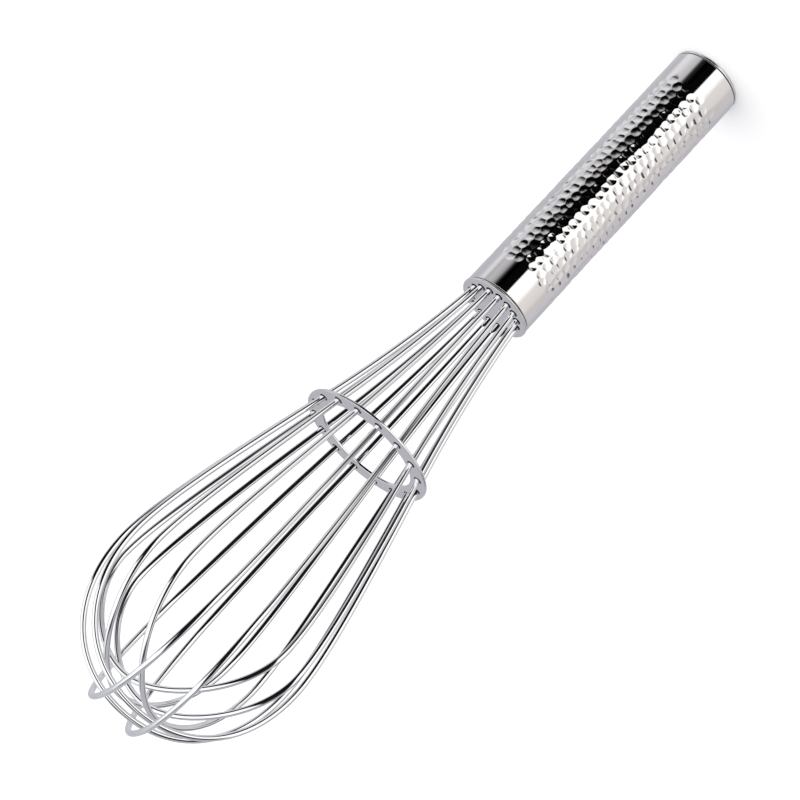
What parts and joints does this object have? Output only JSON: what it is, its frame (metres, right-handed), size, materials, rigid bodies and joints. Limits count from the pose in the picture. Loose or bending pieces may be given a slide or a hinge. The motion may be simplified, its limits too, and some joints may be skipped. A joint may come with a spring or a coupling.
{
  "type": "balloon whisk",
  "caption": "Hand whisk: a dimpled tube handle, with a balloon of sprung wire loops that a flat ring spreads, for beating and blending food.",
  "frame": {"origin": "centre of the flat butt of the handle, which the whisk stands on", "axes": "+Z along the handle towards the tip of the balloon; X and Y are square to two pairs of parallel wire loops"},
  "size_m": [0.0722, 0.0722, 0.297],
  "materials": {
    "handle_steel": "mirror-polished stainless steel with hammered dimples",
    "pressed_steel": "polished pressed stainless steel",
    "ring_steel": "satin stainless sheet",
    "wire_steel": "polished stainless spring wire",
    "resin": "cast resin, out of sight"
  },
  "bodies": {
    "root": {"end_cap": "pressed_steel", "handle_tube": "handle_steel", "resin_core": "resin", "wire_collar": "pressed_steel", "spreader_ring": "ring_steel", "wire_loop_outer_a": "wire_steel", "wire_loop_outer_b": "wire_steel", "wire_loop_second_a": "wire_steel", "wire_loop_second_b": "wire_steel", "wire_loop_third_a": "wire_steel", "wire_loop_third_b": "wire_steel", "wire_loop_inner_a": "wire_steel", "wire_loop_inner_b": "wire_steel"}
  },
  "joints": []
}
